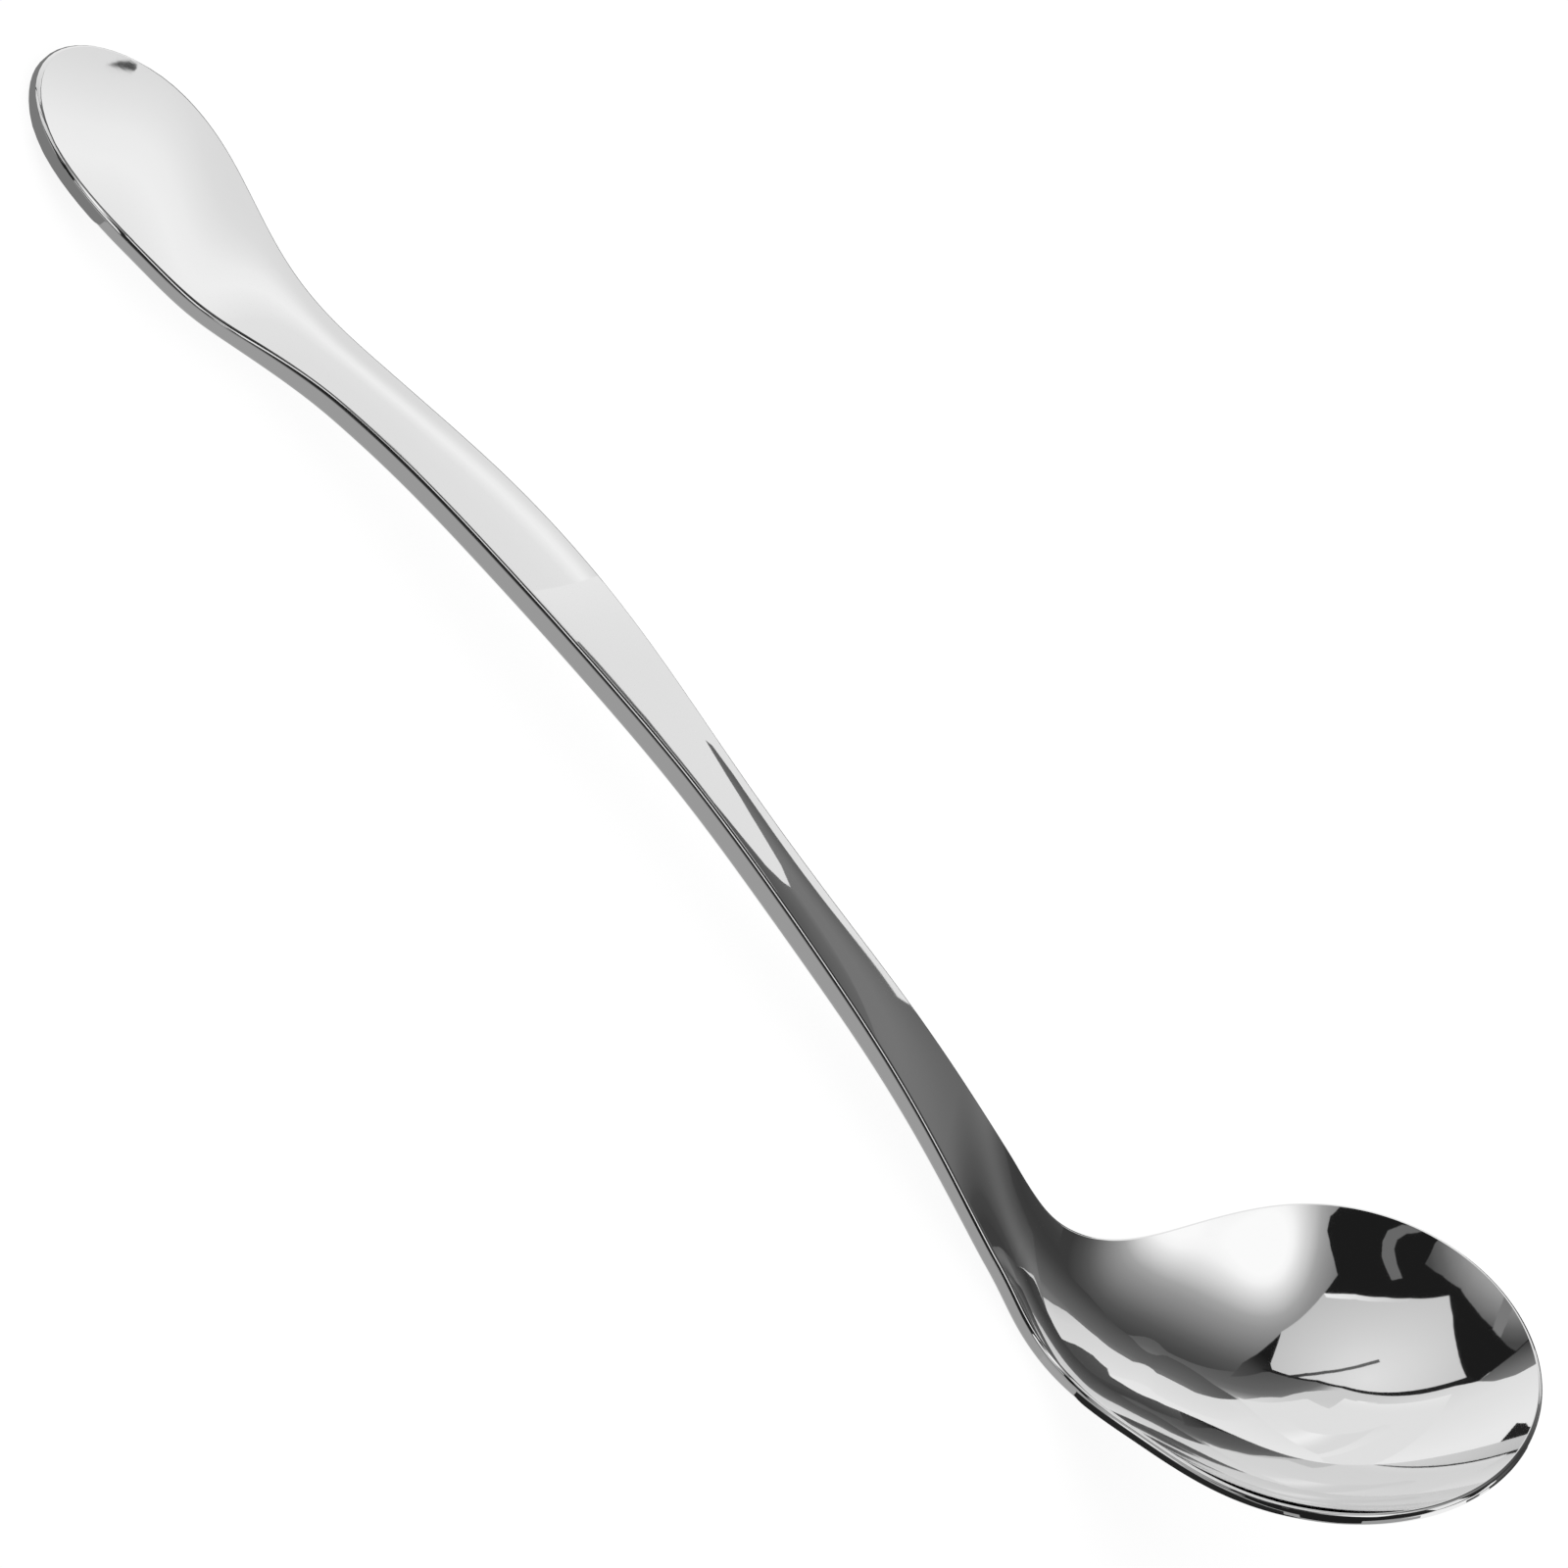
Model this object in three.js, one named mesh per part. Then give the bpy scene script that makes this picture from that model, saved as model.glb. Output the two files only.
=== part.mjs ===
// A soup spoon with a round bowl and a raised flat handle, in mirror-polished stainless steel.
// Millimetres, +Z up. It lies as it is put down, on the back of its bowl and the end of its handle,
// with +X towards the bowl's tip and its mirror plane at Y = 0. A pressed bowl and a forged handle
// meet at a flat butt weld across the neck.
//
// Each piece is drawn as a flat strip, by the distance along it from the bowl's widest point, the
// distance across and the height. The strip is then bent up at the neck and along the handle.

import * as THREE from 'three';
import { mergeVertices } from 'three/addons/utils/BufferGeometryUtils.js';

// Bowl
const bowlWidth = 43; // across the rim at the widest point
const bowlFront = 20.3; // widest point to the tip
const bowlDepth = 9; // rim to the deepest point inside
const rimThickness = 1.3;
const floorThickness = 1.5; // under the deepest point
const hollowRunOut = 5; // the hollow ends this far before the weld

// Lengths of the strip, one after another, from the widest point of the bowl to the end of the handle
const neckLength = 36.5; // to the weld
const waistLength = 46.6;
const swellLength = 34.6;
const throatLength = 25.4;
const flareLength = 27.4;
const endLength = 14;

// Widths where those lengths end
const neckWidth = 13.5;
const waistWidth = 7.9;
const swellWidth = 11;
const throatWidth = 9.1;
const paddleWidth = 22.6;

// Thickness along the handle, and the height of its crowned top face
const neckThickness = 1.6;
const shankThickness = 2.15;
const paddleThickness = 1.6;
const crownHeight = 0.2;
const edgeRound = 0.5;

// Bends of the strip: angles in degrees, and where each one starts
const rimBowAngle = 8.7; // the rim is highest at the bowl's widest point and falls both ways from it
const rimBowLength = 33.5;
const neckBendAngle = 62.2;
const neckBendLength = 15;
const neckBendLead = 5; // end of the bend to the weld
const shoulderAngle = 5.9;
const shoulderLength = 30;
const shoulderLead = 4.5; // weld to the start of the shoulder
const archAngle = 15.4;
const archLength = 68.5;
const archLead = 3; // waist to the start of the arch
const sweepAngle = 13.4;
const sweepLength = 16;
const sweepLead = 2.7; // throat to the start of the upward sweep
const dropAngle = 16;
const dropLength = 17;
const dropLead = 8.4; // start of the drop to the widest point of the paddle

// How far the outline runs level at the ends of each curve, as a share of the curve's length
const taperArrive = 0.47;
const waistLeave = 0.09;
const waistArrive = 0.43;
const swellEase = 0.42;
const throatEase = 0.4;
const flareLeave = 0.48;
const flareArrive = 0.44;

// Finish
const steelColour = 0xd9dadb;
const steelRoughness = 0.06;

// Fineness of the facets
const acrossBowl = 16;
const acrossHandle = 4;
const roundSteps = 2;
const tipSteps = 20;
const taperSteps = 24;
const waistSteps = 14;
const swellSteps = 10;
const throatSteps = 8;
const flareSteps = 14;
const endSteps = 14;
const spineSteps = 400;
const restSteps = 60;
const mergeTolerance = 1e-4;

// Places along the strip
const weldAt = neckLength;
const waistAt = weldAt + waistLength;
const swellAt = waistAt + swellLength;
const throatAt = swellAt + throatLength;
const paddleAt = throatAt + flareLength;

// The edge round leaves a flat band on the thinnest edge.
const largestRoundShare = 0.45;
const thinnestEdge = Math.min(rimThickness, neckThickness, shankThickness, paddleThickness);
const roundRadius = Math.min(edgeRound, largestRoundShare * thinnestEdge);

const { smoothstep, degToRad } = THREE.MathUtils;

const bends = [
  { start: -rimBowLength / 2, length: rimBowLength, angle: -rimBowAngle },
  { start: weldAt - neckBendLead - neckBendLength, length: neckBendLength, angle: neckBendAngle },
  { start: weldAt + shoulderLead, length: shoulderLength, angle: -shoulderAngle },
  { start: waistAt + archLead, length: archLength, angle: -archAngle },
  { start: throatAt + sweepLead, length: sweepLength, angle: sweepAngle },
  { start: paddleAt - dropLead, length: dropLength, angle: -dropAngle },
];

// Slope of the bent strip, in radians. It is level at the bowl's widest point, and each bend eases in and out.
function slopeAt(along) {
  let degrees = rimBowAngle / 2;
  for (const { start, length, angle } of bends) {
    degrees += angle * smoothstep(along, start, start + length);
  }
  return degToRad(degrees);
}

// A point of the flat strip carried to its place on the bent one.
function bent(along, across, height) {
  const stride = along / spineSteps;
  let x = 0;
  let z = 0;
  for (let i = 0; i < spineSteps; i++) {
    const slope = slopeAt((i + 0.5) * stride);
    x -= Math.cos(slope) * stride;
    z += Math.sin(slope) * stride;
  }
  const slope = slopeAt(along);
  return [x + Math.sin(slope) * height, across, z + Math.cos(slope) * height];
}

// Thickness of the strip at its edge, eased from one place to the next.
function thicknessAt(along) {
  const bowlToNeck = (neckThickness - rimThickness) * smoothstep(along, 0, weldAt);
  const neckToShank = (shankThickness - neckThickness) * smoothstep(along, weldAt, waistAt);
  const shankToPaddle = (paddleThickness - shankThickness) * smoothstep(along, throatAt, paddleAt);
  return rimThickness + bowlToNeck + neckToShank + shankToPaddle;
}

// Depth of the bowl's hollow along the middle: a paraboloid in front, a cosine run-out towards the neck.
function hollowAt(along) {
  if (along < 0) {
    const share = along / (bowlFront - roundRadius);
    return bowlDepth * Math.max(0, 1 - share * share);
  }
  const share = Math.min(1, along / (weldAt - hollowRunOut));
  return (bowlDepth * (1 + Math.cos(Math.PI * share))) / 2;
}

// Height of the handle's crowned top along the middle. The paddle is flat.
function crownAt(along) {
  return crownHeight * (smoothstep(along, weldAt, waistAt) - smoothstep(along, throatAt, paddleAt));
}

// A curve of the half outline between two places, level at both ends.
function levelCurve(fromAlong, fromWidth, toAlong, toWidth, leaveBy, arriveBy) {
  return new THREE.CubicBezierCurve(
    new THREE.Vector2(fromAlong, fromWidth / 2),
    new THREE.Vector2(fromAlong + leaveBy, fromWidth / 2),
    new THREE.Vector2(toAlong - arriveBy, toWidth / 2),
    new THREE.Vector2(toAlong, toWidth / 2),
  );
}

// The bowl's outline: a quarter ellipse from the tip to the widest point, whose curvature carries on
// into the taper, and the taper to the weld.
function bowlOutline() {
  const widthLost = (bowlWidth - neckWidth) / bowlWidth;
  const carryOn = bowlFront * Math.sqrt((2 / 3) * widthLost);
  const tip = new THREE.EllipseCurve(0, 0, bowlFront, bowlWidth / 2, Math.PI, Math.PI / 2, true);
  const taper = levelCurve(0, bowlWidth, weldAt, neckWidth, carryOn, taperArrive * neckLength);
  return [
    { curve: tip, steps: tipSteps },
    { curve: taper, steps: taperSteps },
  ];
}

// The handle's outline: weld, waist, swell, throat, paddle and a quarter ellipse round the end.
function handleOutline() {
  const places = [
    { along: weldAt, width: neckWidth },
    { along: waistAt, width: waistWidth, leave: waistLeave, arrive: waistArrive, steps: waistSteps },
    { along: swellAt, width: swellWidth, leave: swellEase, arrive: swellEase, steps: swellSteps },
    { along: throatAt, width: throatWidth, leave: throatEase, arrive: throatEase, steps: throatSteps },
    { along: paddleAt, width: paddleWidth, leave: flareLeave, arrive: flareArrive, steps: flareSteps },
  ];
  const curves = [];
  for (let i = 1; i < places.length; i++) {
    const from = places[i - 1];
    const to = places[i];
    const run = to.along - from.along;
    const curve = levelCurve(from.along, from.width, to.along, to.width, to.leave * run, to.arrive * run);
    curves.push({ curve, steps: to.steps });
  }
  const end = new THREE.EllipseCurve(paddleAt, 0, endLength, paddleWidth / 2, Math.PI / 2, 0, true);
  curves.push({ curve: end, steps: endSteps });
  return curves;
}

// Points of a half outline with the direction inwards from each: straight across at the weld, and
// straight along at a round end.
function stationsOf(curves) {
  const stations = [];
  for (const { curve, steps } of curves) {
    for (let i = stations.length === 0 ? 0 : 1; i <= steps; i++) {
      const point = curve.getPointAt(i / steps);
      const tangent = curve.getTangentAt(i / steps);
      const inward = new THREE.Vector2(tangent.y, -tangent.x);
      if (Math.abs(point.x - weldAt) < mergeTolerance) {
        point.x = weldAt;
        inward.set(0, -1);
      }
      if (Math.abs(point.y) < mergeTolerance) {
        point.y = 0;
        inward.set(point.x < weldAt ? 1 : -1, 0);
      }
      stations.push({ point, inward });
    }
  }
  return stations;
}

// Inset and height of the points round one edge, from the top face over the side to the underside.
function edgePoints(thickness) {
  const top = [];
  const bottom = [];
  for (let i = 0; i <= roundSteps; i++) {
    const turn = (Math.PI / 2) * (i / roundSteps);
    const inset = roundRadius * (1 - Math.sin(turn));
    const fall = roundRadius * (1 - Math.cos(turn));
    top.push({ inset, height: -fall });
    bottom.unshift({ inset, height: fall - thickness });
  }
  return [...top, ...bottom];
}

// One closed ring round the strip: across the top, down one edge, back underneath and up the other edge.
function ringAt({ point, inward }, acrossSteps, middle) {
  const thickness = thicknessAt(point.x);
  const edge = edgePoints(thickness).map(({ inset, height }) => ({
    along: point.x + inward.x * inset,
    across: point.y + inward.y * inset,
    height,
  }));
  const face = edge[0];
  const { top, bottom } = middle(face.along);
  const ring = [];
  const row = (rise, level, way) => {
    for (let i = 1; i < acrossSteps; i++) {
      const share = way * ((2 * i) / acrossSteps - 1);
      ring.push(bent(face.along, share * face.across, level + rise * (1 - share * share)));
    }
  };
  row(top, 0, 1);
  for (const { along, across, height } of edge) {
    ring.push(bent(along, across, height));
  }
  row(bottom, -thickness, -1);
  for (const { along, across, height } of edge.slice().reverse()) {
    ring.push(bent(along, -across, height));
  }
  return ring;
}

// Triangles that close a ring at the weld: strips between the two faces, and a fan in each edge.
function capTriangles(first, acrossSteps, edgeCount) {
  const faceCount = acrossSteps - 1;
  const count = 2 * (faceCount + edgeCount);
  const at = (i) => first + ((i + count) % count);
  const triangles = [];
  for (let i = -1; i < faceCount; i++) {
    const below = 2 * faceCount + edgeCount - 1 - i;
    triangles.push([at(i), at(i + 1), at(below)], [at(i + 1), at(below - 1), at(below)]);
  }
  const lastEdge = faceCount + edgeCount - 1;
  for (let i = faceCount + 1; i < lastEdge; i++) {
    triangles.push([at(faceCount), at(i), at(i + 1)]);
  }
  for (let i = count - edgeCount + 1; i < count - 1; i++) {
    triangles.push([at(count - edgeCount), at(i), at(i + 1)]);
  }
  return triangles;
}

// A closed solid: rings from one end of an outline to the other, with a flat cap on the ring at the weld.
// The ring at the round end folds onto itself and needs none.
function stripSolid(curves, acrossSteps, middle) {
  const stations = stationsOf(curves);
  const rings = stations.map((station) => ringAt(station, acrossSteps, middle));
  const count = rings[0].length;
  const triangles = [];
  for (let r = 0; r + 1 < rings.length; r++) {
    for (let i = 0; i < count; i++) {
      const a = r * count + i;
      const b = r * count + ((i + 1) % count);
      triangles.push([a, b, b + count], [a, b + count, a + count]);
    }
  }
  const edgeCount = 2 * (roundSteps + 1);
  const weldRing = stations.findIndex(({ point }) => point.x === weldAt);
  for (const [a, b, c] of capTriangles(weldRing * count, acrossSteps, edgeCount)) {
    triangles.push(weldRing === 0 ? [a, c, b] : [a, b, c]);
  }
  const geometry = new THREE.BufferGeometry();
  geometry.setAttribute('position', new THREE.Float32BufferAttribute(rings.flat(2), 3));
  geometry.setIndex(triangles.flat());
  return withoutFolded(mergeVertices(geometry, mergeTolerance));
}

// The geometry without the triangles that merging has folded to a line.
function withoutFolded(geometry) {
  const index = geometry.getIndex();
  const kept = [];
  for (let i = 0; i < index.count; i += 3) {
    const corners = [index.getX(i), index.getX(i + 1), index.getX(i + 2)];
    if (new Set(corners).size === 3) {
      kept.push(...corners);
    }
  }
  geometry.setIndex(kept);
  geometry.computeVertexNormals();
  return geometry;
}

// Lowest height of a geometry's points once it is turned about Y, past a given place along X.
function lowestTurned(geometry, turn, reach = Infinity) {
  const place = geometry.getAttribute('position');
  let lowest = Infinity;
  for (let i = 0; i < place.count; i++) {
    if (place.getX(i) < reach) {
      const height = place.getZ(i) * Math.cos(turn) - place.getX(i) * Math.sin(turn);
      lowest = Math.min(lowest, height);
    }
  }
  return lowest;
}

// Turn about Y at which the back of the bowl and the end of the handle lie at one height.
function restingTurn(bowlShape, handleShape) {
  const [endReach] = bent(throatAt, 0, 0);
  let low = -Math.PI / 2;
  let high = 0;
  for (let i = 0; i < restSteps; i++) {
    const turn = (low + high) / 2;
    const endIsLower = lowestTurned(handleShape, turn, endReach) < lowestTurned(bowlShape, turn);
    low = endIsLower ? turn : low;
    high = endIsLower ? high : turn;
  }
  return (low + high) / 2;
}

function steel() {
  return new THREE.MeshStandardMaterial({ color: steelColour, roughness: steelRoughness, metalness: 1 });
}

const bowlMiddle = (along) => {
  const hollow = hollowAt(along);
  const floor = hollow * (1 + (floorThickness - rimThickness) / bowlDepth);
  return { top: -hollow, bottom: -floor };
};
const handleMiddle = (along) => ({ top: crownAt(along), bottom: 0 });

const bowl = new THREE.Mesh(stripSolid(bowlOutline(), acrossBowl, bowlMiddle), steel());
bowl.name = 'bowl';

const handle = new THREE.Mesh(stripSolid(handleOutline(), acrossHandle, handleMiddle), steel());
handle.name = 'handle';

// The spoon lies on the ground plane, centred over the origin.
const spoon = new THREE.Group();
spoon.add(bowl, handle);
spoon.rotation.y = restingTurn(bowl.geometry, handle.geometry);
spoon.updateMatrixWorld(true);
const box = new THREE.Box3().setFromObject(spoon, true);
spoon.position.set(-(box.min.x + box.max.x) / 2, 0, -box.min.z);

export default spoon;
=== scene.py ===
"""A polished steel soup spoon.

Its bowl and handle are pressed from flat blanks, polished and set on a white stage.
"""

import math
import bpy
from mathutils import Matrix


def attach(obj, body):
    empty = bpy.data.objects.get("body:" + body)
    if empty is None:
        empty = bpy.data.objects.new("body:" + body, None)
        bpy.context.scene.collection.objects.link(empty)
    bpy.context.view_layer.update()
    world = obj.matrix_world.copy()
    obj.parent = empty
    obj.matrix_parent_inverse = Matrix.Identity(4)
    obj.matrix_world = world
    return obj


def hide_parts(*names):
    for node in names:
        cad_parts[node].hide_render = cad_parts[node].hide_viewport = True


bl_info = {
    "name": "Soup spoon with a raised handle",
    "version": (1, 0, 0),
    "blender": (4, 5, 0),
    "location": "View3D > Sidebar > Spoon",
    "description": "Presses a spoon's bowl and handle from flat blanks, polishes them and sets the stage",
    "category": "Object",
}

import bmesh
import bpy
import numpy as np
from bpy.props import FloatProperty, FloatVectorProperty, IntProperty, PointerProperty
from mathutils import Matrix, Vector

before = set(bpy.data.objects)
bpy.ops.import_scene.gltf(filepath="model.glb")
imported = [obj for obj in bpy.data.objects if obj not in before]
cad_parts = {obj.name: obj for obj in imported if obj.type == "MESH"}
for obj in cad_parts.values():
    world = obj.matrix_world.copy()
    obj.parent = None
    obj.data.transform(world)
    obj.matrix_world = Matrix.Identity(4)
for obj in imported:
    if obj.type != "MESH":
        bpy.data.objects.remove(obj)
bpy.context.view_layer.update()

MM = 0.001
BODY = "root"


def millimetres(name, size, description):
    """A length property with its default given in millimetres."""
    return FloatProperty(name=name, description=description, default=size * MM, unit="LENGTH", precision=5)


def degrees(name, angle, description):
    """An angle property with its default given in degrees."""
    return FloatProperty(name=name, description=description, default=math.radians(angle), subtype="ANGLE")


def share(name, value, description):
    """A plain factor between nothing and one."""
    return FloatProperty(
        name=name, description=description, default=value, min=0.0, max=1.0, subtype="FACTOR"
    )


def count(name, number, description):
    """A whole number of rows, rings or facets."""
    return IntProperty(name=name, description=description, default=number, min=2)


class SpoonBlank(bpy.types.PropertyGroup):
    """Sizes of the flat strip that the spoon is pressed from."""

    bowl_width: millimetres("Bowl Width", 43, "Across the rim at the widest point")
    bowl_front: millimetres("Bowl Front", 20.3, "From the bowl's widest point to its tip")
    bowl_depth: millimetres("Bowl Depth", 9, "From the rim to the deepest point inside")
    rim_thickness: millimetres("Rim Thickness", 1.3, "Sheet thickness at the rim")
    floor_thickness: millimetres("Floor Thickness", 1.47, "Sheet thickness under the deepest point")
    hollow_run_out: millimetres("Hollow Run-Out", 4.78, "The hollow ends this far before the weld")
    neck_dish: millimetres("Neck Dish", 1.05, "Depth of the shallow dish from the hollow up the neck")
    dish_lead: millimetres("Dish Lead", 18, "Start of the dish to the weld")
    dish_rise: millimetres("Dish Rise", 12, "Length over which the dish deepens")
    dish_fade: millimetres("Dish Fade", 18, "Length over which the dish runs out, up the handle")
    neck_length: millimetres("Neck Length", 36.28, "From the bowl's widest point to the weld")
    waist_length: millimetres("Waist Length", 46.6, "From the weld to the narrowest place")
    swell_length: millimetres("Swell Length", 34.6, "From the waist to the swelling")
    throat_length: millimetres("Throat Length", 25.4, "From the swelling to the throat")
    flare_length: millimetres("Flare Length", 27.4, "From the throat to the paddle's widest point")
    end_length: millimetres("End Length", 13.985, "From the paddle's widest point to the end")
    neck_width: millimetres("Neck Width", 13.5, "Across the weld")
    waist_width: millimetres("Waist Width", 7.9, "Across the narrowest place")
    swell_width: millimetres("Swell Width", 11, "Across the swelling")
    throat_width: millimetres("Throat Width", 9.1, "Across the throat")
    paddle_width: millimetres("Paddle Width", 22.6, "Across the paddle")
    neck_thickness: millimetres("Neck Thickness", 1.6, "Thickness at the weld")
    shank_thickness: millimetres("Shank Thickness", 2.15, "Thickness from the waist to the throat")
    paddle_thickness: millimetres("Paddle Thickness", 1.6, "Thickness of the paddle")
    crown_height: millimetres("Crown Height", 0.2, "Rise of the handle's top face along its middle")
    edge_round: millimetres("Edge Round", 0.5, "Radius along every edge")
    taper_arrive: share("Taper Arrive", 0.47, "Level run of the bowl's taper before the weld")
    waist_leave: share("Waist Leave", 0.09, "Level run after the weld")
    waist_arrive: share("Waist Arrive", 0.43, "Level run before the waist")
    swell_ease: share("Swell Ease", 0.42, "Level run at both ends of the swell's curve")
    throat_ease: share("Throat Ease", 0.4, "Level run at both ends of the throat's curve")
    flare_leave: share("Flare Leave", 0.48, "Level run after the throat")
    flare_arrive: share("Flare Arrive", 0.44, "Level run before the paddle's widest point")


class SpoonBends(bpy.types.PropertyGroup):
    """Bends that the press gives the strip, and how the spoon lies afterwards."""

    rim_bow_angle: degrees("Rim Bow", 8.7, "The rim falls both ways from its widest point")
    rim_bow_length: millimetres("Rim Bow Length", 33.5, "Length of the rim's bow")
    neck_angle: degrees("Neck Bend", 62.2, "Rise of the neck out of the bowl")
    neck_length: millimetres("Neck Bend Length", 17, "Length of the neck's bend")
    neck_lead: millimetres("Neck Bend Lead", 3.89, "End of the neck's bend to the weld")
    shoulder_angle: degrees("Shoulder", 5.9, "Fall after the weld")
    shoulder_length: millimetres("Shoulder Length", 30, "Length of the shoulder")
    shoulder_lead: millimetres("Shoulder Lead", 4.5, "Weld to the start of the shoulder")
    arch_angle: degrees("Arch", 15.4, "Fall over the middle of the handle")
    arch_length: millimetres("Arch Length", 68.5, "Length of the arch")
    arch_lead: millimetres("Arch Lead", 3, "Waist to the start of the arch")
    sweep_angle: degrees("Sweep", 13.4, "Rise into the paddle")
    sweep_length: millimetres("Sweep Length", 16, "Length of the upward sweep")
    sweep_lead: millimetres("Sweep Lead", 2.7, "Throat to the start of the sweep")
    drop_angle: degrees("Drop", 16, "Fall over the paddle")
    drop_length: millimetres("Drop Length", 17, "Length of the drop")
    drop_lead: millimetres("Drop Lead", 8.4, "Start of the drop to the paddle's widest point")
    lie_angle: degrees("Lie", -48.0633, "Turn that lays the spoon on its bowl and its end")
    lie_place: FloatVectorProperty(
        name="Lie Place",
        description="Where the rim's widest point lies above the ground",
        default=(80.0748 * MM, 0.0, 20.2927 * MM),
        subtype="TRANSLATION",
    )


class SpoonMesh(bpy.types.PropertyGroup):
    """Fineness of the blanks."""

    bowl_rows: count("Bowl Rows", 84, "Rows from the weld to the widest point")
    bowl_rings: count("Bowl Rings", 32, "Rings in the bowl's round front")
    handle_rows: count("Handle Rows", 200, "Rows from the weld to the paddle")
    handle_rings: count("Handle Rings", 8, "Rings in the paddle's round end")
    round_steps: count("Round Steps", 6, "Facets across each rounded edge")
    edge_margin: millimetres("Edge Margin", 0.9, "Width of the outermost faces, which hold the edge round")


class SpoonFinish(bpy.types.PropertyGroup):
    """Finish of the steel."""

    steel: FloatVectorProperty(
        name="Steel",
        description="Colour of the steel",
        default=(0.86, 0.86, 0.86),
        min=0.0,
        max=1.0,
        subtype="COLOR",
    )
    roughness: share("Roughness", 0.03, "How far the polish falls short of a mirror")
    haze: share("Haze", 0.4, "How much the polish varies from place to place")


class SpoonStage(bpy.types.PropertyGroup):
    """Camera and light."""

    azimuth: degrees("Azimuth", -29.5865, "Direction that the camera looks from, about the vertical")
    elevation: degrees("Elevation", 27.9457, "Height of the camera as an angle")
    roll: degrees("Roll", 65.5859, "Turn of the picture about the line of sight")
    distance: millimetres("Distance", 1088.875, "Camera to the point it aims at")
    aim: FloatVectorProperty(
        name="Aim",
        description="Point in the middle of the picture",
        default=(14.4688 * MM, 24.3086 * MM, -0.9197 * MM),
        subtype="TRANSLATION",
    )
    lens: FloatProperty(name="Lens", description="Focal length", default=270.0, unit="CAMERA")
    floor_size: millimetres("Floor Size", 6000, "Side of the floor")
    shadow_strength: share("Shadow Strength", 0.16, "How much of the spoon's soft shadow the floor keeps")


def eased(along, start, length):
    """Rises smoothly from nothing at start to one at start plus length."""
    part = np.clip((along - start) / length, 0.0, 1.0)
    return part * part * (3.0 - 2.0 * part)


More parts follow.
